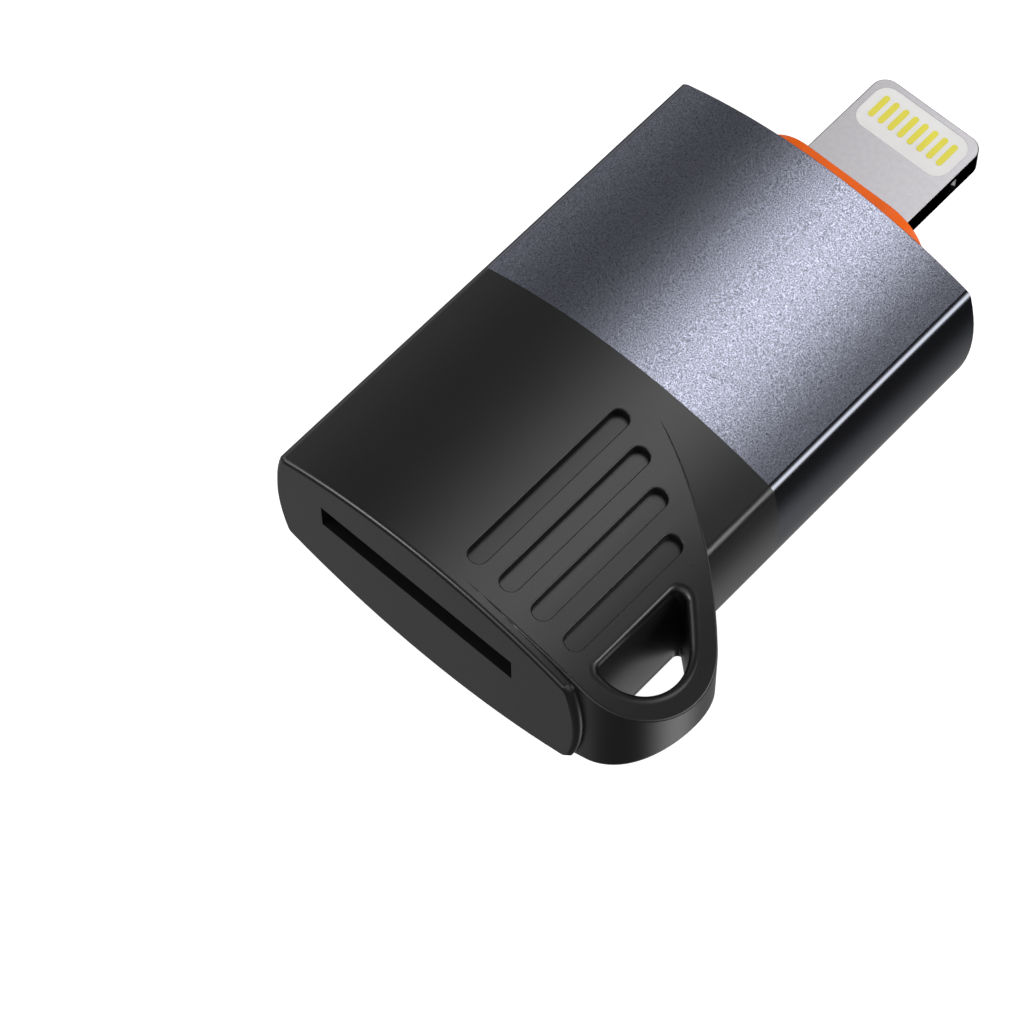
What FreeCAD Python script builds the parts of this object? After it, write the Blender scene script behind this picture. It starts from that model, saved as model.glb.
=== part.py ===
"""Phone card reader as a parametric document, in millimetres.

+X points to the lanyard loop, +Y the way the plug points, +Z up. The origin lies under the middle
of the housing's length, on the surface that its crowned belly rests on.
"""
import FreeCAD, Part
import math
import os
import Sketcher
from FreeCAD import Placement, Rotation, Vector

# Driving dimensions
SIZES = {
    # memory card and its socket
    "card_width": 11.0,
    "card_play": 0.1,
    "slot_play": 0.7,
    "slot_height": 1.66,
    "slot_lift": 0.08,
    "socket_wall": 0.8,
    "socket_floor": 0.3,
    "socket_height": 1.3,
    "socket_length": 13.0,
    "socket_stop": 0.9,
    "socket_shift": 0.42,
    "cover_gap": 0.05,
    "cover_sheet": 0.2,
    "cover_window_width": 1.6,
    "cover_window_length": 4.2,
    "cover_window_spread": 6.4,
    "spring_count": 8,
    "spring_pitch": 1.1,
    "spring_width": 0.5,
    "spring_sheet": 0.12,
    "spring_length": 5.0,
    "spring_rise": 0.5,
    "spring_root_share": 0.3,
    "spring_crest_share": 0.85,
    "spring_tip_share": 0.6,
    "spring_tail": 0.7,
    "spring_play": 0.1,
    "detect_length": 3.0,
    "detect_lean": 0.35,
    # circuit board and how the housing holds it
    "board_thickness": 0.6,
    "board_corner": 0.8,
    "board_gap": 0.63,
    "board_end_gap": 0.3,
    "rail_grip": 0.5,
    "rail_clear": 0.2,
    "rail_height": 0.9,
    "rail_length": 9.0,
    # housing section, shared by the black moulding and the sleeve
    "body_height": 10.5,
    "crown_radius": 27.2,
    "side_radius": 11.75,
    "edge_round": 0.65,
    # black rear moulding
    "rear_length": 14.6,
    "housing_wall": 1.5,
    "end_wall": 1.5,
    "end_bevel": 0.25,
    "spigot_length": 3.0,
    "fit_gap": 0.05,
    # grip pad and lanyard loop
    "pad_radius": 33.0,
    "pad_sink": 0.015,
    "pad_left": 1.0,
    "belly_lift": 0.55,
    "belly_inset": 4.3,
    "belly_tip": 5.0,
    "loop_setback": 0.5,
    "loop_stand": 3.8,
    "loop_radius": 3.75,
    "loop_wall": 1.3,
    "shoulder_angle": 43.0,
    "shoulder_radius": 27.0,
    "hole_inset": 0.55,
    "hole_corner": 0.3,
    "hole_rim": 0.5,
    "sill_width": 0.8,
    "sill_bevel": 0.1,
    "sill_margin": 0.2,
    "loop_top_round": 0.14,
    "loop_under_round": 0.5,
    "hole_under_bevel": 0.3,
    # finger grooves
    "groove_count": 4,
    "groove_first": 1.88,
    "groove_clear": 0.865,
    "groove_width": 1.05,
    "groove_depth": 0.5,
    "groove_near": 2.05,
    "groove_margin": 2.0,
    "groove_bevel": 0.07,
    # metal sleeve
    "sleeve_length": 14.8,
    "sleeve_wall": 0.8,
    "front_wall": 1.0,
    "front_bevel": 0.06,
    # front collar
    "collar_width": 10.4,
    "collar_height": 5.1,
    "collar_reach": 1.9,
    "collar_bevel": 0.1,
    "collar_lip": 1.0,
    "collar_lip_thickness": 1.2,
    # plug
    "plug_width": 6.75,
    "plug_thickness": 1.5,
    "plug_length": 6.95,
    "plug_corner": 0.85,
    "plug_bevel": 0.07,
    "plug_skin": 0.25,
    "plug_rim": 0.4,
    "plug_nose": 0.38,
    "plug_play": 0.03,
    "window_length": 2.87,
    "window_corner": 0.85,
    "window_recess": 0.02,
    "notch_radius": 0.6,
    "notch_depth": 0.2,
    "notch_height": 0.8,
    "notch_setback": 2.7,
    "flange_width": 9.0,
    "flange_height": 2.6,
    "flange_thickness": 1.0,
    "flange_clip": 0.4,
    "leg_width": 1.2,
    "leg_thickness": 0.35,
    "leg_length": 1.8,
    # plug contacts
    "contact_count": 8,
    "contact_pitch": 0.64,
    "contact_width": 0.34,
    "contact_clip": 0.1,
    "contact_sheet": 0.12,
    "contact_length": 1.55,
    "contact_setback": 0.96,
    "contact_proud": 0.015,
    "contact_tail": 1.6,
    # parts soldered to the board
    "controller_side": 4.0,
    "controller_height": 0.8,
    "controller_place": 6.2,
    "auth_width": 3.0,
    "auth_length": 2.0,
    "auth_height": 0.6,
    "auth_place": 3.4,
    "chip_chamfer": 0.12,
    "pin_mark": 0.25,
    "pin_mark_depth": 0.06,
    "pin_mark_inset": 0.55,
    "regulator_width": 2.9,
    "regulator_length": 1.6,
    "regulator_height": 1.0,
    "regulator_lift": 0.08,
    "regulator_across": 4.9,
    "regulator_place": 4.6,
    "lead_count": 3,
    "lead_width": 0.36,
    "lead_sheet": 0.14,
    "lead_pitch": 0.95,
    "lead_foot": 0.4,
    "lead_reach": 0.6,
    "crystal_width": 2.5,
    "crystal_length": 3.2,
    "crystal_base": 0.35,
    "crystal_lid": 0.35,
    "crystal_ledge": 0.15,
    "crystal_clip": 0.25,
    "crystal_across": 4.9,
    "crystal_place": 5.6,
    "capacitor_length": 1.6,
    "capacitor_width": 0.8,
    "capacitor_spread": 1.5,
    "capacitor_count": 4,
    "capacitor_place": 6.6,
    "resistor_length": 1.0,
    "resistor_width": 0.5,
    "resistor_height": 0.35,
    "resistor_spread": 1.1,
    "resistor_count": 6,
    "resistor_place": 8.8,
}

# How closely an edge or a radius has to match what is looked for, in millimetres
SLACK = 1e-3

doc = FreeCAD.newDocument("phone_card_reader")
sheet = doc.addObject("Spreadsheet::Sheet", "Sizes")


class Size:
    """A length that carries its spreadsheet expression beside its present value."""

    def __init__(self, text, value):
        self.text = text
        self.value = value

    def __add__(self, other):
        return Size(f"({self.text} + {text_of(other)})", self.value + value_of(other))

    def __radd__(self, other):
        return Size(f"({text_of(other)} + {self.text})", value_of(other) + self.value)

    def __sub__(self, other):
        return Size(f"({self.text} - {text_of(other)})", self.value - value_of(other))

    def __rsub__(self, other):
        return Size(f"({text_of(other)} - {self.text})", value_of(other) - self.value)

    def __mul__(self, other):
        return Size(f"({self.text} * {text_of(other)})", self.value * value_of(other))

    def __rmul__(self, other):
        return Size(f"({text_of(other)} * {self.text})", value_of(other) * self.value)

    def __truediv__(self, other):
        return Size(f"({self.text} / {text_of(other)})", self.value / value_of(other))

    def __neg__(self):
        return Size(f"(0 - {self.text})", -self.value)


def text_of(item):
    """The expression of a size, or a plain number as text."""
    return item.text if isinstance(item, Size) else repr(item)


def value_of(item):
    """The present value of a size or a plain number."""
    return item.value if isinstance(item, Size) else item


def root(item):
    """Square root of a size."""
    return Size(f"sqrt({item.text})", math.sqrt(item.value))


def cosine(item):
    """Cosine of an angle in degrees."""
    return Size(f"cos({item.text} * 1 deg)", math.cos(math.radians(item.value)))


def sine(item):
    """Sine of an angle in degrees."""
    return Size(f"sin({item.text} * 1 deg)", math.sin(math.radians(item.value)))


def fill_sheet():
    """Write the driving dimensions to the sheet and return them as sizes by name."""
    sizes = {}
    for row, (alias, number) in enumerate(SIZES.items(), start=1):
        sheet.set(f"A{row}", alias)
        sheet.set(f"B{row}", str(number))
        sheet.setAlias(f"B{row}", alias)
        sizes[alias] = Size(f"Sizes.{alias}", number)
    doc.recompute()
    return sizes


class Named:
    """Sizes reached as attributes, such as sizes.card_width."""

    def __init__(self, sizes):
        self.__dict__.update(sizes)


s = Named(fill_sheet())

# Places worked out from the driving dimensions
mid = s.body_height / 2
socket_width = s.card_width + s.card_play * 2 + s.socket_wall * 2
cover_half = socket_width / 2 + s.cover_gap + s.cover_sheet
board_half = cover_half + s.socket_shift + s.rail_clear + s.rail_grip
body_half = board_half + s.board_gap + s.housing_wall
slot_face = -(s.rear_length + s.sleeve_length) / 2
front_face = (s.rear_length + s.sleeve_length) / 2
seam = slot_face + s.rear_length
collar_face = front_face + s.collar_reach
plug_tip = collar_face + s.plug_length
lip_front = front_face - s.front_wall
lip_rear = lip_front - s.collar_lip_thickness
plug_rear = lip_rear - s.flange_thickness
board_rear = slot_face + s.end_wall + s.board_end_gap
board_top = mid + s.board_thickness / 2
board_under = mid - s.board_thickness / 2
socket_front = board_rear + s.socket_length
card_level = board_top + (s.socket_floor + s.socket_height) / 2
cavity_half = s.plug_width / 2 - s.plug_rim
cavity_height = s.plug_thickness - s.plug_skin * 2
contact_front = plug_tip - s.contact_setback
loop_x = body_half + s.loop_stand - s.loop_radius
loop_y = slot_face + s.loop_setback + s.loop_radius
shoulder_x = loop_x + (s.loop_radius - s.shoulder_radius) * cosine(s.shoulder_angle)
shoulder_y = loop_y + (s.loop_radius - s.shoulder_radius) * sine(s.shoulder_angle)
pad_apex = s.body_height - s.pad_sink
belly_run = s.belly_inset + s.loop_stand
belly_rise = s.belly_tip - s.belly_lift
belly_radius = (belly_run * belly_run + belly_rise * belly_rise) / (belly_rise * 2)
hole_edge = body_half - s.hole_inset
hole_root = hole_edge - s.sill_width
hole_near = slot_face + s.loop_setback + s.loop_wall
groove_last = hole_edge - s.groove_clear - s.groove_width / 2
groove_pitch = (groove_last - s.groove_first) / (s.groove_count - 1)


def arc_height(radius, across):
    """How far a circle of this radius falls below its top at a distance across."""
    return radius - root(radius * radius - across * across)


def shoulder_at(across, inset=0):
    """Y of the shoulder arc, moved in by an inset, at a distance across."""
    radius = s.shoulder_radius - inset
    run = across - shoulder_x
    return shoulder_y + root(radius * radius - run * run)


# Document helpers


def new_body(label):
    """A body with its own label."""
    body = doc.addObject("PartDesign::Body", label)
    body.Label = label
    return body


def origin_plane(body, role):
    """One of the body's own origin planes."""
    return next(item for item in body.Origin.OriginFeatures if item.Role == role)


def new_sketch(body, role, name, x=0, y=0, z=0):
    """A sketch on an origin plane, with its own zero at the given place."""
    sketch = body.newObject("Sketcher::SketchObject", name)
    sketch.AttachmentSupport = [(origin_plane(body, role), "")]
    sketch.MapMode = "FlatFace"
    offset = {"XY_Plane": (x, y, z), "XZ_Plane": (x, z, -y), "YZ_Plane": (y, z, x)}[role]
    sketch.AttachmentOffset = Placement(Vector(*[value_of(item) for item in offset]), Rotation())
    for axis, item in zip("xyz", offset):
        if isinstance(item, Size):
            sketch.setExpression(f"AttachmentOffset.Base.{axis}", item.text)
    return sketch


def pin(sketch, kind, first, name, size):
    """A dimension bound to the sheet; kind and first are the constraint's name and references."""
    number = sketch.addConstraint(Sketcher.Constraint(kind, *first, size.value))
    sketch.renameConstraint(number, name)
    sketch.setExpression(f"Constraints.{name}", size.text)


def pin_point(sketch, geometry, point, across, up):
    """Hold a point at a place; a plain zero puts it on the sketch's own axis."""
    for kind, axis, size in (("DistanceX", -2, across), ("DistanceY", -1, up)):
        if isinstance(size, Size):
            pin(sketch, kind, (-1, 1, geometry, point), f"{kind}{geometry}p{point}", size)
        else:
            sketch.addConstraint(Sketcher.Constraint("PointOnObject", geometry, point, axis))


def flat(across, up):
    """A sketch point as a vector."""
    return Vector(value_of(across), value_of(up), 0)


def arc_between(start, end, radius, side):
    """The lesser arc from start to end, with its centre to the left for side 1, right for -1."""
    chord = end - start
    left = Vector(-chord.y, chord.x, 0).normalize()
    rise = math.sqrt(max(radius * radius - chord.Length ** 2 / 4, 0))
    centre = (start + end) / 2 + left * rise * side
    middle = centre - left * radius * side
    return Part.Arc(start, middle, end)


def outline(sketch, corners):
    """A closed outline of pinned corners.

    Each corner is (across, up, bend): bend is None where a straight run leads to the next corner,
    or (radius, side) where an arc does.
    """
    first = sketch.GeometryCount
    count = len(corners)
    ends = []
    for index, (across, up, bend) in enumerate(corners):
        start = flat(across, up)
        end = flat(*corners[(index + 1) % count][:2])
        if bend is None:
            sketch.addGeometry(Part.LineSegment(start, end), False)
            ends.append((1, 2))
        else:
            radius, side = bend
            sketch.addGeometry(arc_between(start, end, radius.value, side), False)
            ends.append((1, 2) if side > 0 else (2, 1))
    for index, (across, up, bend) in enumerate(corners):
        here = first + index
        after = first + (index + 1) % count
        sketch.addConstraint(
            Sketcher.Constraint("Coincident", here, ends[index][1], after, ends[(index + 1) % count][0])
        )
        pin_point(sketch, here, ends[index][0], across, up)
        if bend is not None:
            pin(sketch, "Radius", (here,), f"radius{here}", bend[0])


def rectangle(sketch, left, right, low, high):
    """A plain rectangle."""
    outline(sketch, [(left, low, None), (right, low, None), (right, high, None), (left, high, None)])


def eased_rectangle(sketch, left, right, low, high, corner, bend):
    """A rectangle whose corners are cut back and joined by the given bend."""
    outline(sketch, [
        (left + corner, low, None), (right - corner, low, bend),
        (right, low + corner, None), (right, high - corner, bend),
        (right - corner, high, None), (left + corner, high, bend),
        (left, high - corner, None), (left, low + corner, bend),
    ])


def rounded_rectangle(sketch, left, right, low, high, corner):
    """A rectangle with round corners."""
    eased_rectangle(sketch, left, right, low, high, corner, (corner, 1))


def clipped_rectangle(sketch, left, right, low, high, clip):
    """A rectangle with its corners cut straight across."""
    eased_rectangle(sketch, left, right, low, high, clip, None)


def stadium(sketch, first_centre, last_centre, radius):
    """A slot shape with half-round ends about two centres."""
    begin = flat(*first_centre)
    finish = flat(*last_centre)
    along = (finish - begin).normalize()
    side = Vector(-along.y, along.x, 0) * radius.value
    cap = along * radius.value
    base = sketch.GeometryCount
    sketch.addGeometry(Part.Arc(begin + side, begin - cap, begin - side), False)
    sketch.addGeometry(Part.LineSegment(begin - side, finish - side), False)
    sketch.addGeometry(Part.Arc(finish - side, finish + cap, finish + side), False)
    sketch.addGeometry(Part.LineSegment(finish + side, begin + side), False)
    for step in range(4):
        here = base + step
        after = base + (step + 1) % 4
        sketch.addConstraint(Sketcher.Constraint("Tangent", here, 2, after, 1))
    pin_point(sketch, base, 3, *first_centre)
    pin_point(sketch, base + 2, 3, *last_centre)
    pin(sketch, "Radius", (base,), f"radius{base}", radius)
    sketch.addConstraint(Sketcher.Constraint("Equal", base, base + 2))


def barrel(sketch, inset):
    """The housing's section moved in by an inset: crowned top and belly, bulged sides."""
    half_width = body_half - inset
    half_height = mid - inset
    crown = s.crown_radius - inset
    side = s.side_radius - inset
    crown_centre = half_height - crown
    side_centre = half_width - side
    corner = barrel_corner(crown_centre.value, crown.value, side_centre.value, side.value)
    x, z = corner
    top = half_height.value
    wide = half_width.value
    runs = [
        ((x, z), (0, top), (-x, z), (0, crown_centre), crown),
        ((-x, z), (-wide, 0), (-x, -z), (-side_centre, 0), side),
        ((-x, -z), (0, -top), (x, -z), (0, -crown_centre), crown),
        ((x, -z), (wide, 0), (x, z), (side_centre, 0), side),
    ]
    for start, middle, end, _, _ in runs:
        sketch.addGeometry(Part.Arc(flat(*start), flat(*middle), flat(*end)), False)
    for step, (_, _, _, centre, radius) in enumerate(runs):
        sketch.addConstraint(Sketcher.Constraint("Coincident", step, 2, (step + 1) % 4, 1))
        pin_point(sketch, step, 3, *centre)
        pin(sketch, "Radius", (step,), f"radius{step}", radius)


def barrel_corner(crown_centre, crown, side_centre, side):
    """Where the crown's circle, centred on the Z axis, meets the side's, centred on the X axis."""
    apart = math.hypot(side_centre, crown_centre)
    along = (crown ** 2 - side ** 2 + apart ** 2) / (2 * apart)
    off = math.sqrt(crown ** 2 - along ** 2)
    unit_x = side_centre / apart
    unit_z = -crown_centre / apart
    return along * unit_x + off * unit_z, crown_centre + along * unit_z + off * -unit_x


def pad(body, sketch, length, back=False):
    """Grow a sketch into a solid; back grows it against the sketch's normal."""
    feature = body.newObject("PartDesign::Pad", f"{sketch.Name}_pad")
    feature.Profile = sketch
    feature.Reversed = back
    feature.setExpression("Length", length.text)
    doc.recompute()
    return feature


def pocket(body, sketch, length=None, back=False):
    """Cut a sketch into the solid, right through where no length is given."""
    before = body.Shape.Volume
    feature = body.newObject("PartDesign::Pocket", f"{sketch.Name}_cut")
    feature.Profile = sketch
    feature.Reversed = back
    if length is None:
        feature.Type = "ThroughAll"
    else:
        feature.setExpression("Length", length.text)
    doc.recompute()
    if body.Shape.Volume >= before:
        raise ValueError(f"{feature.Name} cuts nothing")
    return feature


def pattern(body, feature, sketch, axis, count, pitch):
    """Repeat a feature along an axis of its sketch."""
    row = body.newObject("PartDesign::LinearPattern", f"{feature.Name}_row")
    row.Originals = [feature]
    row.Direction = (sketch, [axis])
    row.Mode = "Spacing"
    row.setExpression("Offset", pitch.text)
    row.setExpression("Occurrences", count.text)
    body.Tip = row
    doc.recompute()
    return row


def dress(body, kind, base, edges, size):
    """A fillet or a chamfer on the named edges of a feature."""
    feature = body.newObject(f"PartDesign::{kind}", f"{base.Name}_{kind.lower()}")
    feature.Base = (base, edges)
    feature.setExpression("Radius" if kind == "Fillet" else "Size", size.text)
    doc.recompute()
    return feature


def edges_where(shape, test):
    """Names of the edges that pass a test."""
    return [f"Edge{number}" for number, edge in enumerate(shape.Edges, start=1) if test(edge)]


def edges_on_plane(shape, axis, place):
    """Names of the edges that lie in a plane square to an axis."""
    low = f"{axis}Min"
    high = f"{axis}Max"
    return edges_where(
        shape,
        lambda edge: abs(getattr(edge.BoundBox, low) - place) < SLACK
        and abs(getattr(edge.BoundBox, high) - place) < SLACK,
    )


def run_along(shape, axis, length):
    """Names of the straight edges that run along an axis for about a length."""
    return edges_where(
        shape,
        lambda edge: isinstance(edge.Curve, Part.Line)
        and abs(getattr(edge.BoundBox, f"{axis}Length") - length) < SLACK,
    )


def edges_round_face(shape, radius, wire_is_outer):
    """Names of the edges of the cylindrical face with a radius, of its outer or inner wires."""
    face = next(
        item for item in shape.Faces
        if isinstance(item.Surface, Part.Cylinder) and abs(item.Surface.Radius - radius) < SLACK
    )
    wires = [wire for wire in face.Wires if wire.isSame(face.OuterWire) == wire_is_outer]
    wanted = [edge for wire in wires for edge in wire.Edges]
    return edges_where(shape, lambda edge: any(edge.isSame(item) for item in wanted))


def keep_right(shape, names, left):
    """Leave out the edges that lie on the hidden left wall."""
    return [name for name in names if shape.getElement(name).BoundBox.XMax > left + SLACK]


# Housing


def hole_outline():
    """Corners of the lanyard hole: the loop's outline moved in by its wall, closed under the sill."""
    inner = s.loop_radius - s.loop_wall
    shoulder = s.shoulder_radius - s.loop_wall
    corner_x = hole_root + s.hole_corner
    corner_run = corner_x - shoulder_x
    corner_reach = shoulder - s.hole_corner
    corner_y = shoulder_y + root(corner_reach * corner_reach - corner_run * corner_run)
    stretch = shoulder / corner_reach
    return [
        (corner_x, hole_near, None),
        (loop_x, hole_near, (inner, 1)),
        (loop_x + inner, loop_y, (inner, 1)),
        (loop_x + inner * cosine(s.shoulder_angle), loop_y + inner * sine(s.shoulder_angle), (shoulder, 1)),
        (
            shoulder_x + corner_run * stretch,
            shoulder_y + (corner_y - shoulder_y) * stretch,
            (s.hole_corner, 1),
        ),
        (hole_root, corner_y, None),
        (hole_root, hole_near + s.hole_corner, (s.hole_corner, 1)),
    ]


def loop_outline():
    """Corners of the grip pad and loop seen from above."""
    near = slot_face + s.loop_setback
    turn_x = loop_x + s.loop_radius * cosine(s.shoulder_angle)
    turn_y = loop_y + s.loop_radius * sine(s.shoulder_angle)
    return [
        (s.pad_left, near, None),
        (loop_x, near, (s.loop_radius, 1)),
        (loop_x + s.loop_radius, loop_y, (s.loop_radius, 1)),
        (turn_x, turn_y, (s.shoulder_radius, 1)),
        (s.pad_left, shoulder_at(s.pad_left), None),
    ]


def pad_arc(sketch, depth, limit):
    """Everything between the pad's arc, lowered by a depth, and a level limit."""
    reach = body_half + s.loop_stand + s.loop_radius
    radius = s.pad_radius - depth
    edge = pad_apex - depth - arc_height(radius, reach)
    corners = [(-reach, edge, (radius, -1)), (reach, edge, None), (reach, limit, None), (-reach, limit, None)]
    outline(sketch, corners)


def trim(body, name):
    """Cut a blank down to the pad's arc above and up to the loop's belly below."""
    over = new_sketch(body, "XZ_Plane", f"above_{name}", y=slot_face)
    pad_arc(over, 0, s.body_height * 2)
    pocket(body, over)
    under = new_sketch(body, "XZ_Plane", f"below_{name}", x=body_half - s.belly_inset, y=slot_face)
    outline(under, [
        (-belly_run, s.belly_tip, (belly_radius, 1)), (belly_run, s.belly_tip, None),
        (belly_run, -s.body_height, None), (-belly_run, -s.body_height, None),
    ])
    return pocket(body, under)


def make_sill():
    """Straight edge of the lanyard hole on the body's side, with crisp rims."""
    body = new_body("sill_blank")
    cover = s.hole_rim + s.sill_margin
    plan = new_sketch(body, "XY_Plane", "sill_plan")
    rectangle(
        plan, hole_root - cover, hole_edge,
        hole_near - cover, shoulder_at(hole_edge, s.loop_wall - cover),
    )
    pad(body, plan, s.body_height)
    trimmed = trim(body, "sill")
    rims = edges_where(
        trimmed.Shape,
        lambda edge: edge.BoundBox.XMin > hole_edge.value - SLACK and edge.BoundBox.YLength > SLACK,
    )
    dress(body, "Chamfer", trimmed, rims, s.sill_bevel)
    return body


def make_loop():
    """The grip pad and loop as a ring, trimmed by the pad's arc above and the belly's below."""
    body = new_body("loop_blank")
    plan = new_sketch(body, "XY_Plane", "loop_plan")
    outline(plan, loop_outline())
    outline(plan, hole_outline())
    pad(body, plan, s.body_height)
    trimmed = trim(body, "loop")
    eased = (
        ("Fillet", s.pad_radius, True, s.loop_top_round),
        ("Chamfer", s.pad_radius, False, s.hole_rim),
        ("Fillet", belly_radius, True, s.loop_under_round),
        ("Chamfer", belly_radius, False, s.hole_under_bevel),
    )
    for kind, radius, outer, size in eased:
        shape = trimmed.Shape
        names = keep_right(shape, edges_round_face(shape, radius.value, outer), s.pad_left.value)
        trimmed = dress(body, kind, trimmed, names, size)
    return body


def groove_places():
    """Each finger groove as its place across and the ends of its middle line."""
    near = slot_face + s.groove_near
    places = []
    for number in range(int(s.groove_count.value)):
        across = s.groove_first + groove_pitch * number
        places.append((across, near, shoulder_at(across) - s.groove_margin))
    return places


def make_grooves():
    """What the finger grooves take away, with floors that follow the pad."""
    body = new_body("groove_blank")
    plan = new_sketch(body, "XY_Plane", "groove_plan")
    for across, near, far in groove_places():
        stadium(plan, (across, near), (across, far), s.groove_width / 2)
    pad(body, plan, s.body_height)
    below = new_sketch(body, "XZ_Plane", "below_grooves", y=slot_face)
    pad_arc(below, s.groove_depth, -s.body_height)
    pocket(body, below)
    return body


def cut_grooves(body):
    """Finger grooves along the pad, each ending short of the shoulder, with eased rims."""
    cut = body.newObject("PartDesign::Boolean", "groove_cut")
    cut.setObjects([make_grooves()])
    cut.Type = "Cut"
    doc.recompute()
    rims = []
    reach = s.groove_width.value / 2 + SLACK
    for across, near, far in groove_places():
        middle = pad_apex - arc_height(s.pad_radius, across)
        low = middle.value - s.groove_depth.value / 2
        rims += edges_where(
            cut.Shape,
            lambda edge: edge.BoundBox.ZMin > low
            and edge.BoundBox.XMin > across.value - reach and edge.BoundBox.XMax < across.value + reach
            and edge.BoundBox.YMin > near.value - reach and edge.BoundBox.YMax < far.value + reach,
        )
    dress(body, "Chamfer", cut, rims, s.groove_bevel)


def make_rear_housing():
    """Black moulding: barrel, loop, spigot, hollow with board rails, card slot and grooves."""
    loop = make_loop()
    sill = make_sill()
    body = new_body("rear_housing")
    section = new_sketch(body, "XZ_Plane", "rear_section", y=slot_face, z=mid)
    barrel(section, 0)
    tip = pad(body, section, s.rear_length, back=True)
    tip = dress(body, "Fillet", tip, run_along(tip.Shape, "Y", s.rear_length.value), s.edge_round)
    dress(body, "Chamfer", tip, edges_on_plane(tip.Shape, "Y", slot_face.value), s.end_bevel)

    join = body.newObject("PartDesign::Boolean", "loop_join")
    join.setObjects([loop, sill])
    join.Type = "Fuse"
    doc.recompute()

    spigot = new_sketch(body, "XZ_Plane", "spigot_section", y=seam, z=mid)
    barrel(spigot, s.sleeve_wall + s.fit_gap)
    pad(body, spigot, s.spigot_length, back=True)
    hollow = new_sketch(body, "XZ_Plane", "hollow_section", y=slot_face + s.end_wall, z=mid)
    barrel(hollow, s.housing_wall)
    pocket(body, hollow, s.rear_length + s.spigot_length - s.end_wall)

    rails = new_sketch(body, "XZ_Plane", "board_rails", y=slot_face + s.end_wall, z=mid)
    inner = board_half - s.rail_grip
    outer = body_half - s.housing_wall / 2
    low = s.board_thickness / 2 + s.fit_gap
    high = low + s.rail_height
    for left, right in ((inner, outer), (-outer, -inner)):
        rectangle(rails, left, right, low, high)
        rectangle(rails, left, right, -high, -low)
    pad(body, rails, s.rail_length, back=True)

    slot = new_sketch(body, "XZ_Plane", "card_slot", x=-s.socket_shift, y=slot_face, z=card_level + s.slot_lift)
    half = s.card_width / 2 + s.slot_play
    rectangle(slot, -half, half, -s.slot_height / 2, s.slot_height / 2)
    pocket(body, slot, s.end_wall)
    cut_grooves(body)
    return body


def make_metal_sleeve():
    """Drawn sleeve: the same barrel, open behind, with a wall and a window at the plug end."""
    body = new_body("metal_sleeve")
    section = new_sketch(body, "XZ_Plane", "sleeve_section", y=seam, z=mid)
    barrel(section, 0)
    tip = pad(body, section, s.sleeve_length, back=True)
    tip = dress(body, "Fillet", tip, run_along(tip.Shape, "Y", s.sleeve_length.value), s.edge_round)
    dress(body, "Chamfer", tip, edges_on_plane(tip.Shape, "Y", front_face.value), s.front_bevel)
    hollow = new_sketch(body, "XZ_Plane", "sleeve_hollow", y=seam, z=mid)
    barrel(hollow, s.sleeve_wall)
    pocket(body, hollow, s.sleeve_length - s.front_wall)
    window = new_sketch(body, "XZ_Plane", "collar_window", y=lip_front, z=mid)
    flat_run = (s.collar_width - s.collar_height) / 2
    stadium(window, (-flat_run, 0), (flat_run, 0), s.collar_height / 2 + s.fit_gap)
    pocket(body, window, s.front_wall)
    return body


def make_front_collar():
    """Collar with a lip behind the sleeve's front wall and a slot for the plug."""
    body = new_body("front_collar")
    flat_run = (s.collar_width - s.collar_height) / 2
    lip = new_sketch(body, "XZ_Plane", "collar_lip", y=lip_rear, z=mid)
    stadium(lip, (-flat_run, 0), (flat_run, 0), s.collar_height / 2 + s.collar_lip)
    pad(body, lip, s.collar_lip_thickness, back=True)
    boss = new_sketch(body, "XZ_Plane", "collar_boss", y=lip_front, z=mid)
    stadium(boss, (-flat_run, 0), (flat_run, 0), s.collar_height / 2)
    tip = pad(body, boss, s.front_wall + s.collar_reach, back=True)
    dress(body, "Chamfer", tip, edges_on_plane(tip.Shape, "Y", collar_face.value), s.collar_bevel)
    way = new_sketch(body, "XZ_Plane", "plug_way", y=lip_rear, z=mid)
    half = s.plug_width / 2 + s.plug_play
    high = s.plug_thickness / 2 + s.plug_play
    clipped_rectangle(way, -half, half, -high, high, s.plug_bevel)
    pocket(body, way)
    return body


# Plug


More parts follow.
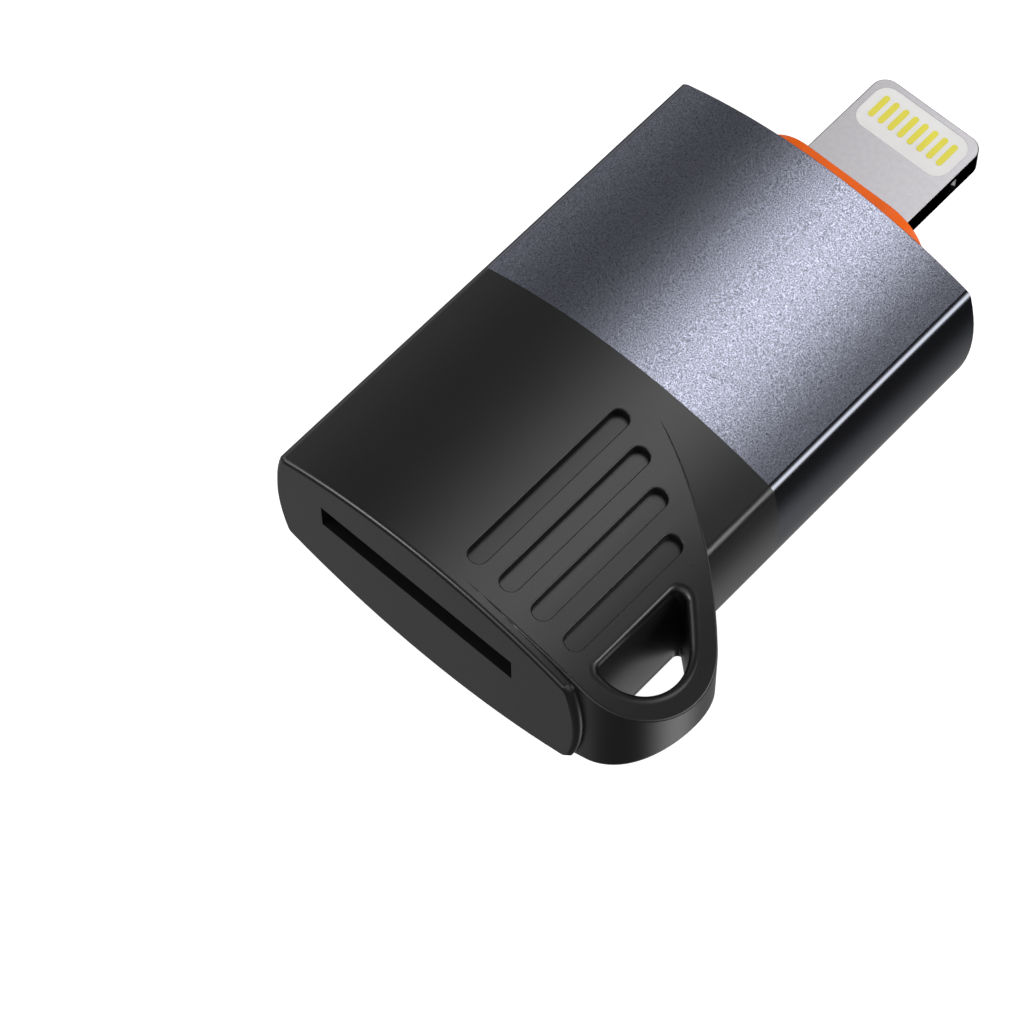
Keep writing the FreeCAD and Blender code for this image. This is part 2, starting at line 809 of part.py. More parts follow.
def make_plug_shell():
    """Steel tongue with a flange, two solder legs, a window in each face and a notch each side."""
    body = new_body("plug_shell")
    half = s.plug_width / 2
    turn = (s.plug_corner, 1)
    tongue = new_sketch(body, "XY_Plane", "tongue_plan", z=mid - s.plug_thickness / 2)
    outline(tongue, [
        (-half, plug_rear, None), (half, plug_rear, None),
        (half, plug_tip - s.plug_corner, turn), (half - s.plug_corner, plug_tip, None),
        (s.plug_corner - half, plug_tip, turn), (-half, plug_tip - s.plug_corner, None),
    ])
    tip = pad(body, tongue, s.plug_thickness)
    faces = (mid + s.plug_thickness / 2, mid - s.plug_thickness / 2)
    rims = [name for face in faces for name in edges_on_plane(tip.Shape, "Z", face.value)]
    rear_edges = edges_on_plane(tip.Shape, "Y", plug_rear.value)
    dress(body, "Chamfer", tip, [name for name in rims if name not in rear_edges], s.plug_bevel)

    flange = new_sketch(body, "XZ_Plane", "plug_flange", y=plug_rear, z=mid)
    clipped_rectangle(
        flange, -s.flange_width / 2, s.flange_width / 2,
        -s.flange_height / 2, s.flange_height / 2, s.flange_clip,
    )
    pad(body, flange, s.flange_thickness, back=True)
    legs = new_sketch(body, "XZ_Plane", "solder_legs", y=plug_rear, z=board_top)
    outer = s.flange_width / 2 - s.flange_clip
    rectangle(legs, outer - s.leg_width, outer, 0, s.leg_thickness)
    rectangle(legs, -outer, s.leg_width - outer, 0, s.leg_thickness)
    pad(body, legs, s.leg_length)

    hollow = new_sketch(body, "XZ_Plane", "plug_hollow", y=plug_rear, z=mid)
    rectangle(hollow, -cavity_half, cavity_half, -cavity_height / 2, cavity_height / 2)
    pocket(body, hollow, plug_tip - s.plug_nose - plug_rear)
    for name, face, back in (("upper_window", faces[0], False), ("lower_window", faces[1], True)):
        window = new_sketch(body, "XY_Plane", name, z=face)
        window_outline(window)
        pocket(body, window, s.plug_skin, back=back)
    for name, side in (("right_notch", 1), ("left_notch", -1)):
        notch = new_sketch(body, "XY_Plane", name, z=mid + s.notch_height / 2)
        centre = (half + s.notch_radius - s.notch_depth) * side
        ring = notch.addGeometry(
            Part.Circle(flat(centre, plug_tip - s.notch_setback), Vector(0, 0, 1), s.notch_radius.value)
        )
        pin_point(notch, ring, 3, centre, plug_tip - s.notch_setback)
        pin(notch, "Radius", (ring,), "notch_radius", s.notch_radius)
        pocket(body, notch, s.notch_height)
    return body


def window_outline(sketch):
    """The window in each face of the plug."""
    high = plug_tip - s.plug_nose
    rounded_rectangle(sketch, -cavity_half, cavity_half, high - s.window_length, high, s.window_corner)


def make_contacts(label, upper):
    """Eight contacts of one face: a pad in the window, a strip through the insert, a solder tail."""
    body = new_body(label)
    start = -(s.contact_count - 1) * s.contact_pitch / 2
    half = s.contact_width / 2
    face = s.plug_thickness / 2 + s.contact_proud
    level = board_top if upper else board_under
    strip = new_sketch(body, "XY_Plane", f"{label}_strip", z=level)
    rectangle(strip, start - half, start + half, plug_rear - s.contact_tail, contact_front - half)
    strip_pad = pad(body, strip, s.contact_sheet, back=not upper)
    touch = new_sketch(body, "XY_Plane", f"{label}_pad", z=level)
    clipped_rectangle(
        touch, start - half, start + half,
        contact_front - s.contact_length, contact_front, s.contact_clip,
    )
    touch_pad = pad(body, touch, face - s.board_thickness / 2, back=not upper)
    row = body.newObject("PartDesign::LinearPattern", f"{label}_row")
    row.Originals = [strip_pad, touch_pad]
    row.Direction = (strip, ["H_Axis"])
    row.Mode = "Spacing"
    row.setExpression("Offset", s.contact_pitch.text)
    row.setExpression("Occurrences", s.contact_count.text)
    body.Tip = row
    doc.recompute()
    return body


def make_plug_insert(contacts):
    """White resin that fills the shell and both windows around the contacts."""
    body = new_body("insert_blank")
    core = new_sketch(body, "XZ_Plane", "insert_core", y=plug_rear, z=mid)
    rectangle(core, -cavity_half, cavity_half, -cavity_height / 2, cavity_height / 2)
    pad(body, core, plug_tip - s.plug_nose - plug_rear, back=True)
    for name, side in (("insert_top", 1), ("insert_under", -1)):
        face = new_sketch(body, "XY_Plane", name, z=mid + cavity_height / 2 * side)
        window_outline(face)
        pad(body, face, s.plug_skin - s.window_recess, back=side < 0)
    tools = doc.addObject("Part::Compound", "contact_ways")
    tools.Links = contacts
    insert = doc.addObject("Part::Cut", "plug_insert")
    insert.Base = body
    insert.Tool = tools
    insert.Label = "plug_insert"
    doc.recompute()
    return insert


# Board and card socket


def make_circuit_board():
    """Board between the housing's rails, from the slot wall to the plug's flange."""
    body = new_body("circuit_board")
    plan = new_sketch(body, "XY_Plane", "board_plan", z=board_under)
    rounded_rectangle(plan, -board_half, board_half, board_rear, plug_rear, s.board_corner)
    pad(body, plan, s.board_thickness)
    return body


def make_socket_base():
    """Moulded tray: floor with a slot for each spring, two side walls and a stop wall."""
    body = new_body("card_socket_base")
    half = socket_width / 2
    inner = half - s.socket_wall
    floor = new_sketch(body, "XY_Plane", "socket_floor", x=-s.socket_shift, z=board_top)
    rectangle(floor, -half, half, board_rear, socket_front)
    pad(body, floor, s.socket_floor)
    walls = new_sketch(body, "XY_Plane", "socket_walls", x=-s.socket_shift, z=board_top + s.socket_floor)
    outline(walls, [
        (-half, board_rear, None), (-inner, board_rear, None),
        (-inner, socket_front - s.socket_stop, None), (inner, socket_front - s.socket_stop, None),
        (inner, board_rear, None), (half, board_rear, None),
        (half, socket_front, None), (-half, socket_front, None),
    ])
    pad(body, walls, s.socket_height - s.socket_floor)
    slots = new_sketch(body, "XY_Plane", "spring_slots", x=-s.socket_shift, z=board_top)
    start = -(s.spring_count - 1) * s.spring_pitch / 2
    wide = s.spring_width / 2 + s.spring_play
    rectangle(slots, start - wide, start + wide, socket_front - s.spring_length - s.spring_play, socket_front)
    cut = pocket(body, slots, s.socket_floor, back=True)
    pattern(body, cut, slots, "H_Axis", s.spring_count, s.spring_pitch)
    return body


def make_socket_cover():
    """Stamped cover folded down both sides to the board, with two spring windows."""
    body = new_body("card_socket_cover")
    inner = cover_half - s.cover_sheet
    high = s.socket_height + s.cover_sheet
    fold = new_sketch(body, "XZ_Plane", "cover_fold", x=-s.socket_shift, y=board_rear, z=board_top)
    outline(fold, [
        (-cover_half, 0, None), (-inner, 0, None), (-inner, s.socket_height, None),
        (inner, s.socket_height, None), (inner, 0, None), (cover_half, 0, None),
        (cover_half, high, None), (-cover_half, high, None),
    ])
    pad(body, fold, s.socket_length, back=True)
    windows = new_sketch(body, "XY_Plane", "cover_windows", x=-s.socket_shift, z=board_top + high)
    middle = board_rear + s.socket_length / 2
    for side in (-1, 1):
        centre = s.cover_window_spread / 2 * side
        rectangle(
            windows, centre - s.cover_window_width / 2, centre + s.cover_window_width / 2,
            middle - s.cover_window_length / 2, middle + s.cover_window_length / 2,
        )
    pocket(body, windows, s.cover_sheet)
    return body


def make_socket_contacts():
    """Sprung contacts: a solder tail, a flat root on the board and a bowed beam up to the card."""
    body = new_body("card_socket_contacts")
    first = -(s.spring_count - 1) * s.spring_pitch / 2 - s.spring_width / 2 - s.socket_shift
    side = new_sketch(body, "YZ_Plane", "spring_side", x=first, z=board_top)
    root_end = socket_front - s.spring_length * s.spring_root_share
    crest = socket_front - s.spring_length * s.spring_crest_share
    tip_y = socket_front - s.spring_length
    tip_z = s.spring_rise * s.spring_tip_share
    outline(side, [
        (socket_front + s.spring_tail, 0, None),
        (socket_front + s.spring_tail, s.spring_sheet, None),
        (root_end, s.spring_sheet, None),
        (crest, s.spring_rise + s.spring_sheet, None),
        (tip_y, tip_z + s.spring_sheet, None),
        (tip_y, tip_z, None),
        (crest, s.spring_rise, None),
        (root_end, 0, None),
    ])
    beam = pad(body, side, s.spring_width)
    pattern(body, beam, side, "N_Axis", s.spring_count, s.spring_pitch)
    return body


def make_card_detect_spring():
    """Leaf on the socket's side wall that the card pushes aside."""
    body = new_body("card_detect_spring")
    wall = s.card_width / 2 + s.card_play
    rear = socket_front - s.socket_stop
    low = board_top + s.socket_floor
    leaf = new_sketch(body, "XY_Plane", "detect_leaf", x=-s.socket_shift, z=low)
    lean = wall - s.detect_lean
    outline(leaf, [
        (wall, rear, None), (wall - s.spring_sheet, rear, None),
        (lean - s.spring_sheet, rear - s.detect_length, None), (lean, rear - s.detect_length, None),
    ])
    pad(body, leaf, (s.socket_height - s.socket_floor) / 2)
    return body


# Parts soldered to the board


def make_chip(label, width, length, height, middle_y, upper):
    """A moulded chip with a chamfered top and a round mark at its first pin."""
    body = new_body(label)
    level = board_top if upper else board_under
    plan = new_sketch(body, "XY_Plane", f"{label}_plan", y=middle_y, z=level)
    rectangle(plan, -width / 2, width / 2, -length / 2, length / 2)
    tip = pad(body, plan, height, back=not upper)
    top = level + height if upper else level - height
    dress(body, "Chamfer", tip, edges_on_plane(tip.Shape, "Z", top.value), s.chip_chamfer)
    mark = new_sketch(body, "XY_Plane", f"{label}_mark", y=middle_y, z=top)
    across = s.pin_mark_inset - width / 2
    up = length / 2 - s.pin_mark_inset
    ring = mark.addGeometry(Part.Circle(flat(across, up), Vector(0, 0, 1), s.pin_mark.value))
    pin_point(mark, ring, 3, across, up)
    pin(mark, "Radius", (ring,), "mark_radius", s.pin_mark)
    pocket(body, mark, s.pin_mark_depth, back=not upper)
    return body


def make_regulator():
    """Small moulded regulator that stands on its leads."""
    body = new_body("voltage_regulator")
    plan = new_sketch(
        body, "XY_Plane", "regulator_plan",
        x=s.regulator_across, y=plug_rear - s.regulator_place, z=board_top + s.regulator_lift,
    )
    half = s.regulator_length / 2
    rectangle(plan, -half, half, -s.regulator_width / 2, s.regulator_width / 2)
    tip = pad(body, plan, s.regulator_height)
    top = board_top + s.regulator_lift + s.regulator_height
    dress(body, "Chamfer", tip, edges_on_plane(tip.Shape, "Z", top.value), s.chip_chamfer)
    return body


def make_regulator_leads():
    """Three bent leads on each side of the regulator, from mid-height down to the board."""
    body = new_body("voltage_regulator_leads")
    low = plug_rear - s.regulator_place - (s.lead_count - 1) * s.lead_pitch / 2 - s.lead_width / 2
    side = new_sketch(body, "XZ_Plane", "lead_side", x=s.regulator_across, y=low, z=board_top)
    exit_level = s.regulator_lift + s.regulator_height / 2
    wall = s.regulator_length / 2
    knee = wall + s.lead_reach - s.lead_foot
    tip = wall + s.lead_reach
    for sign in (1, -1):
        corners = [
            (wall, exit_level), (knee - s.lead_sheet, exit_level), (knee - s.lead_sheet, 0), (tip, 0),
            (tip, s.lead_sheet), (knee, s.lead_sheet),
            (knee, exit_level + s.lead_sheet), (wall, exit_level + s.lead_sheet),
        ]
        outline(side, [(across * sign, up, None) for across, up in corners])
    lead = pad(body, side, s.lead_width, back=True)
    row = pattern(body, lead, side, "N_Axis", s.lead_count, s.lead_pitch)
    row.Reversed = True
    doc.recompute()
    return body


def make_crystal():
    """Ceramic base with a metal lid set in from its rim."""
    body = new_body("crystal")
    place = {"x": -s.crystal_across, "y": plug_rear - s.crystal_place}
    half = s.crystal_width / 2
    long_half = s.crystal_length / 2
    base = new_sketch(body, "XY_Plane", "crystal_base", z=board_top, **place)
    clipped_rectangle(base, -half, half, -long_half, long_half, s.crystal_clip)
    pad(body, base, s.crystal_base)
    lid = new_sketch(body, "XY_Plane", "crystal_lid", z=board_top + s.crystal_base, **place)
    ledge = s.crystal_ledge
    clipped_rectangle(lid, ledge - half, half - ledge, ledge - long_half, long_half - ledge, s.crystal_clip)
    pad(body, lid, s.crystal_lid)
    return body


def make_chip_row(label, sizes, count, spread, middle_y, upper):
    """A row of small two-ended parts across the board; sizes are width, length and height."""
    width, length, height = sizes
    body = new_body(label)
    level = board_top if upper else board_under
    plan = new_sketch(body, "XY_Plane", f"{label}_plan", y=middle_y, z=level)
    start = -(count - 1) * spread / 2
    rectangle(plan, start - width / 2, start + width / 2, -length / 2, length / 2)
    one = pad(body, plan, height, back=not upper)
    pattern(body, one, plan, "H_Axis", count, spread)
    return body


def make_all():
    """Every sub-part, in the order that it would be put together."""
    upper = make_contacts("upper_plug_contacts", True)
    lower = make_contacts("lower_plug_contacts", False)
    capacitor = (s.capacitor_width, s.capacitor_length, s.capacitor_width)
    resistor = (s.resistor_width, s.resistor_length, s.resistor_height)
    return [
        make_rear_housing(),
        make_metal_sleeve(),
        make_front_collar(),
        make_plug_shell(),
        make_plug_insert([upper, lower]),
        upper,
        lower,
        make_circuit_board(),
        make_socket_base(),
        make_socket_cover(),
        make_socket_contacts(),
        make_card_detect_spring(),
        make_chip(
            "controller_chip", s.controller_side, s.controller_side, s.controller_height,
            plug_rear - s.controller_place, True,
        ),
        make_chip(
            "authentication_chip", s.auth_width, s.auth_length, s.auth_height,
            plug_rear - s.auth_place, False,
        ),
        make_regulator(),
        make_regulator_leads(),
        make_crystal(),
        make_chip_row(
            "capacitors", capacitor, s.capacitor_count, s.capacitor_spread,
            plug_rear - s.capacitor_place, False,
        ),
        make_chip_row(
            "resistors", resistor, s.resistor_count, s.resistor_spread,
            plug_rear - s.resistor_place, False,
        ),
    ]


def check_document(parts):
    """Stop if anything failed to build."""
    for item in doc.Objects:
        if "Invalid" in item.State or "Error" in item.State:
            raise ValueError(f"{item.Name} did not build: {item.State}")
    for part in parts:
        if part.Shape.isNull() or not part.Shape.isValid() or not part.Shape.Solids:
            raise ValueError(f"{part.Label} has no sound shape")


def write_parts(parts):
    """One STEP file for each sub-part, named after its label."""
    os.makedirs("parts", exist_ok=True)
    for part in parts:
        part.Shape.exportStep(f"parts/{part.Label}.step")
        box = part.Shape.BoundBox
        extent = f"{box.XLength:.2f} x {box.YLength:.2f} x {box.ZLength:.2f}"
        print(f"{part.Label}: {len(part.Shape.Solids)} solid(s), {extent}")


parts = make_all()
check_document(parts)
write_parts(parts)
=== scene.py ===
"""Studio scene of a phone card reader: finishes, light and camera around its solids.

Lengths are metres in the solids' own frame: +Y the way the plug points, +X to the lanyard loop, +Z up.
"""
import logging
import math
from abc import ABC, abstractmethod
from collections import Counter, defaultdict
from collections.abc import Iterable
from dataclasses import dataclass
from enum import Enum

import bpy
from mathutils import Matrix, Vector


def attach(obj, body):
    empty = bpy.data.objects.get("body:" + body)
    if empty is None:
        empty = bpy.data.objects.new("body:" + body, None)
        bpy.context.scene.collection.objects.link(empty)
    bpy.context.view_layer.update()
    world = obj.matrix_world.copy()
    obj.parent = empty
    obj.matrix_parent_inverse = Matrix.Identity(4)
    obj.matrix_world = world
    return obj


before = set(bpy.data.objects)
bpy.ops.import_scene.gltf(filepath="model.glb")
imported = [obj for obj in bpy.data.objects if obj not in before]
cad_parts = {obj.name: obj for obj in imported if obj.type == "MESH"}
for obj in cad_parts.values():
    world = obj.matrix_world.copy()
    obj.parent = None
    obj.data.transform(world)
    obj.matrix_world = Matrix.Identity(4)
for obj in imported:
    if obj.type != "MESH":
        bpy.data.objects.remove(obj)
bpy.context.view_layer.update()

MM = 0.001
QUARTER_TURN = math.pi / 2
NOISE_LOW = 0.3
NOISE_HIGH = 0.7
WHITE = (1.0, 1.0, 1.0, 1.0)
ALONG_X = (1.0, 0.0, 0.0)
ALONG_Y = (0.0, 1.0, 0.0)
ALONG_Z = (0.0, 0.0, 1.0)
ALONG_TOP = (-0.7, 1.0, 0.0)
Triple = tuple[float, float, float]
Colour = Triple
Direction = Triple
Socket = bpy.types.NodeSocket
log = logging.getLogger("card_reader")


class Slot(Enum):
    """Material slots of the record."""

    BLACK_PLASTIC = "black_plastic"
    SLEEVE_METAL = "sleeve_metal"
    ORANGE_PLASTIC = "orange_plastic"
    PLUG_STEEL = "plug_steel"
    WHITE_RESIN = "white_resin"
    CONTACT_GOLD = "contact_gold"
    BOARD_RESIN = "board_resin"
    SOCKET_PLASTIC = "socket_plastic"
    SOCKET_STEEL = "socket_steel"
    CHIP_PLASTIC = "chip_plastic"
    TINNED_METAL = "tinned_metal"
    CAPACITOR_BODY = "capacitor_body"


class Fade(Enum):
    """How a value runs from one end of a range to the other."""

    EVEN = "LINEAR"
    SOFT = "SMOOTHSTEP"


class Join(Enum):
    """How two values become one."""

    SUM = "ADD"
    PRODUCT = "MULTIPLY"


def by_identifier(sockets: Iterable[Socket], identifier: str) -> Socket:
    """Find one socket among several that share a name."""
    return next(socket for socket in sockets if socket.identifier == identifier)


def scaled(colour: Colour, share: float) -> Colour:
    """A colour made darker or lighter."""
    red, green, blue = colour
    return (red * share, green * share, blue * share)


def add_object(name: str, data: bpy.types.ID) -> bpy.types.Object:
    """Put a new object into the scene.

    Args:
        name: the object's name.
        data: its mesh, light or camera.

    Returns:
        The new object.
    """
    made = bpy.data.objects.new(name, data)
    bpy.context.scene.collection.objects.link(made)
    return made


class Graph:
    """A node tree that is built one node at a time."""

    def __init__(self, tree: bpy.types.NodeTree) -> None:
        """Start on a tree that exists."""
        self.tree = tree

    def node(self, kind: str, **settings: object) -> bpy.types.Node:
        """Add a node.

        Args:
            kind: the node's type name.
            settings: attributes to set on it.

        Returns:
            The new node.
        """
        made = self.tree.nodes.new(kind)
        for name, value in settings.items():
            setattr(made, name, value)
        return made

    def link(self, source: Socket, target: Socket) -> None:
        """Join an output to an input."""
        self.tree.links.new(source, target)

    def place(self) -> Socket:
        """The surface point in the object's own metres."""
        return self.node("ShaderNodeTexCoord").outputs["Object"]

    def noise(self, pitch: float, octaves: float = 2.0, squeeze: Triple = (1.0, 1.0, 1.0)) -> Socket:
        """Noise between 0 and 1.

        Args:
            pitch: size of one blot in metres.
            octaves: how many layers of finer noise lie over it.
            squeeze: how much the noise is squeezed along each axis.

        Returns:
            The noise's factor.
        """
        mapping = self.node("ShaderNodeMapping")
        mapping.inputs["Scale"].default_value = squeeze
        self.link(self.place(), mapping.inputs["Vector"])
        made = self.node("ShaderNodeTexNoise")
        made.inputs["Scale"].default_value = 1.0 / pitch
        made.inputs["Detail"].default_value = octaves
        self.link(mapping.outputs["Vector"], made.inputs["Vector"])
        return made.outputs["Fac"]

    def dot(self, vector: Socket, axis: Vector) -> Socket:
        """How far a vector runs along an axis.

        Args:
            vector: the vector to measure.
            axis: the axis, of any length.

        Returns:
            The dot product of the two.
        """
        made = self.node("ShaderNodeVectorMath", operation="DOT_PRODUCT")
        self.link(vector, made.inputs[0])
        made.inputs[1].default_value = axis
        return made.outputs["Value"]

    def joined(self, way: Join, first: Socket, second: Socket) -> Socket:
        """Make one value out of two.

        Args:
            way: how they are joined.
            first: one value.
            second: the other value.

        Returns:
            Their sum or product.
        """
        made = self.node("ShaderNodeMath", operation=way.value)
        self.link(first, made.inputs[0])
        self.link(second, made.inputs[1])
        return made.outputs["Value"]

    def spread(self, factor: Socket, low: float, high: float, start: float = NOISE_LOW,
               end: float = NOISE_HIGH, fade: Fade = Fade.EVEN) -> Socket:
        """Map one range of a factor onto another, held at both ends.

        Args:
            factor: the value to map.
            low: what the start becomes.
            high: what the end becomes.
            start: where the factor's range starts.
            end: where the factor's range ends.
            fade: how the value runs between them.

        Returns:
            The mapped value.
        """
        made = self.node("ShaderNodeMapRange", interpolation_type=fade.value)
        self.link(factor, made.inputs["Value"])
        made.inputs["From Min"].default_value = start
        made.inputs["From Max"].default_value = end
        made.inputs["To Min"].default_value = low
        made.inputs["To Max"].default_value = high
        return made.outputs["Result"]

    def tone(self, factor: Socket, dark: Colour, light: Colour) -> Socket:
        """A colour that follows a noise.

        Args:
            factor: the noise.
            dark: the colour where the noise is low.
            light: the colour where it is high.

        Returns:
            The colour.
        """
        ramp = self.node("ShaderNodeValToRGB")
        first, last = ramp.color_ramp.elements
        first.position = NOISE_LOW
        first.color = (*dark, 1.0)
        last.position = NOISE_HIGH
        last.color = (*light, 1.0)
        self.link(factor, ramp.inputs["Fac"])
        return ramp.outputs["Color"]

    def bump(self, height: Socket, depth: float) -> bpy.types.Node:
        """Bend the normal by a height.

        Args:
            height: height between 0 and 1.
            depth: what a height of 1 stands for, in metres.

        Returns:
            The bump node.
        """
        made = self.node("ShaderNodeBump")
        made.inputs["Distance"].default_value = depth
        self.link(height, made.inputs["Height"])
        return made

    def sideways(self) -> Socket:
        """Measure how far the surface faces to the left or right.

        Returns:
            0 where it faces up, 1 where it is square to the side.
        """
        made = self.node("ShaderNodeVectorMath", operation="ABSOLUTE")
        self.link(self.node("ShaderNodeTexCoord").outputs["Normal"], made.inputs[0])
        return self.dot(made.outputs["Vector"], Vector(ALONG_X))

    def blend_colour(self, factor: Socket, first: Socket, last: Colour) -> Socket:
        """A colour that gives way to a plain one.

        Args:
            factor: how far it has given way, from 0 to 1.
            first: the colour at 0.
            last: the plain colour at 1.

        Returns:
            The blended colour.
        """
        made = self.node("ShaderNodeMix", data_type="RGBA")
        self.link(factor, by_identifier(made.inputs, "Factor_Float"))
        self.link(first, by_identifier(made.inputs, "A_Color"))
        by_identifier(made.inputs, "B_Color").default_value = (*last, 1.0)
        return by_identifier(made.outputs, "Result_Color")

    def blend_value(self, factor: Socket, first: Socket, last: float) -> Socket:
        """A value that gives way to a plain one.

        Args:
            factor: how far it has given way, from 0 to 1.
            first: the value at 0.
            last: the plain value at 1.

        Returns:
            The blended value.
        """
        made = self.node("ShaderNodeMix", data_type="FLOAT")
        self.link(factor, by_identifier(made.inputs, "Factor_Float"))
        self.link(first, by_identifier(made.inputs, "A_Float"))
        by_identifier(made.inputs, "B_Float").default_value = last
        return by_identifier(made.outputs, "Result_Float")


@dataclass(frozen=True)
class Finish:
    """A surface with a fine grain, uneven gloss and a little mottling."""

    slot: Slot
    colour: Colour
    roughness: float
    metallic: float = 0.0
    mottle: float = 0.06
    gloss_stray: float = 0.05
    grain_pitch: float = 0.08 * MM
    grain_depth: float = 0.002 * MM
    grain_octaves: float = 3.0
    grain_squeeze: Triple = (1.0, 1.0, 1.0)
    cloud_pitch: float = 2.5 * MM
    specular: float = 0.5

    def material(self) -> bpy.types.Material:
        """Make the material.

        Returns:
            A node material named after its slot.
        """
        made = bpy.data.materials.new(self.slot.value)
        made.use_nodes = True
        shader = made.node_tree.nodes["Principled BSDF"]
        shader.inputs["Metallic"].default_value = self.metallic
        shader.inputs["Specular IOR Level"].default_value = self.specular
        self.paint(Graph(made.node_tree), shader)
        return made

    def paint(self, graph: Graph, shader: bpy.types.Node) -> None:
        """Colour, gloss and grain of the surface.

        Args:
            graph: the material's tree.
            shader: its surface shader.
        """
        grain = graph.noise(self.grain_pitch, self.grain_octaves, self.grain_squeeze)
        cloud = graph.noise(self.cloud_pitch)
        dark = scaled(self.colour, 1 - self.mottle)
        light = scaled(self.colour, 1 + self.mottle)
        graph.link(graph.tone(cloud, dark, light), shader.inputs["Base Color"])
        gloss = graph.spread(grain, self.roughness - self.gloss_stray, self.roughness + self.gloss_stray)
        graph.link(gloss, shader.inputs["Roughness"])
        if self.grain_depth:
            graph.link(graph.bump(grain, self.grain_depth).outputs["Normal"], shader.inputs["Normal"])


@dataclass(frozen=True)
class EdgedMetal(Finish):
    """Metal with a bright and dark speckle, smooth where it turns to the side and there of a darker tone
    that is partly its own polish and partly painted shade.
    """

    grain_octaves: float = 2.0
    speckle_dark: float = 0.45
    speckle_light: float = 1.85
    # colour of the sides: partly the polished edge's own tone, partly painted shade
    side_tone_and_shade: Colour = (0.22, 0.23, 0.265)
    edge_tint: Colour = (0.6, 0.6, 0.6)
    edge_roughness: float = 0.22
    edge_start: float = 0.315
    edge_end: float = 0.335

    def paint(self, graph: Graph, shader: bpy.types.Node) -> None:
        """Speckled colour, gloss and pitting, all gone where the surface turns to the side, where a darker
        colour paints shade.

        Args:
            graph: the material's tree.
            shader: its surface shader.
        """
        # the specular tint dims reflections at grazing angles
        shader.inputs["Specular Tint"].default_value = (*self.edge_tint, 1.0)
        grain = graph.noise(self.grain_pitch, self.grain_octaves, self.grain_squeeze)
        edge = graph.spread(graph.sideways(), 0.0, 1.0, self.edge_start, self.edge_end)
        dark = scaled(self.colour, self.speckle_dark)
        light = scaled(self.colour, self.speckle_light)
        speckle = graph.tone(grain, dark, light)
        # painted shade: the sides take the darker side colour
        graph.link(graph.blend_colour(edge, speckle, self.side_tone_and_shade), shader.inputs["Base Color"])
        gloss = graph.spread(grain, self.roughness + self.gloss_stray, self.roughness - self.gloss_stray)
        graph.link(graph.blend_value(edge, gloss, self.edge_roughness), shader.inputs["Roughness"])
        pits = graph.bump(grain, self.grain_depth)
        graph.link(graph.spread(edge, 1.0, 0.0, 0.0, 1.0), pits.inputs["Strength"])
        graph.link(pits.outputs["Normal"], shader.inputs["Normal"])


# Finishes of the outside
BLACK_PLASTIC = Finish(
    Slot.BLACK_PLASTIC, (0.005, 0.005, 0.0052), 0.36,
    mottle=0.08, gloss_stray=0.02, grain_depth=0.0003 * MM, specular=1.0,
)
# The sleeve's sides are polished and take a darker tone, partly their own and partly painted shade.
SLEEVE_METAL = EdgedMetal(
    Slot.SLEEVE_METAL, (0.368, 0.381, 0.471), 0.31,
    metallic=1.0, grain_pitch=0.07 * MM, grain_depth=0.007 * MM,
)
ORANGE_PLASTIC = Finish(Slot.ORANGE_PLASTIC, (0.95, 0.142, 0.007), 0.38, specular=0.2)
# The plug's sides are painted near black and its grazing reflections dimmed: painted shade standing in for
# the dark surroundings that they reflect.
PLUG_STEEL = EdgedMetal(
    Slot.PLUG_STEEL, (0.475, 0.46, 0.482), 0.16,
    metallic=1.0, gloss_stray=0.01, grain_pitch=0.3 * MM, grain_depth=0.0,
    speckle_dark=0.98, speckle_light=1.02, side_tone_and_shade=(0.06, 0.06, 0.062),
    edge_tint=(0.15, 0.15, 0.15), edge_roughness=0.1, edge_start=0.8, edge_end=0.95,
)
WHITE_RESIN = Finish(Slot.WHITE_RESIN, (0.84, 0.84, 0.83), 0.4, mottle=0.03)
CONTACT_GOLD = Finish(Slot.CONTACT_GOLD, (0.81, 0.73, 0.075), 0.35, metallic=0.2, grain_depth=0.0)

# Finishes of the inside
BOARD_RESIN = Finish(Slot.BOARD_RESIN, (0.015, 0.1, 0.05), 0.35)
SOCKET_PLASTIC = Finish(Slot.SOCKET_PLASTIC, (0.012, 0.012, 0.012), 0.5)
SOCKET_STEEL = Finish(Slot.SOCKET_STEEL, (0.6, 0.6, 0.6), 0.32, metallic=1.0, grain_squeeze=(1.0, 0.1, 1.0))
CHIP_PLASTIC = Finish(Slot.CHIP_PLASTIC, (0.022, 0.022, 0.024), 0.55)
TINNED_METAL = Finish(Slot.TINNED_METAL, (0.68, 0.68, 0.66), 0.35, metallic=1.0)
CAPACITOR_BODY = Finish(Slot.CAPACITOR_BODY, (0.38, 0.25, 0.14), 0.5)


class Palette:
    """Materials that have been made so far, one for each finish."""

    def __init__(self) -> None:
        """Start with none."""
        self.made: dict[Finish, bpy.types.Material] = {}

    def material(self, finish: Finish) -> bpy.types.Material:
        """The material of a finish, made when it is first asked for.

        Args:
            finish: the finish to look up.

        Returns:
            Its one material.
        """
        if finish not in self.made:
            self.made[finish] = finish.material()
        return self.made[finish]


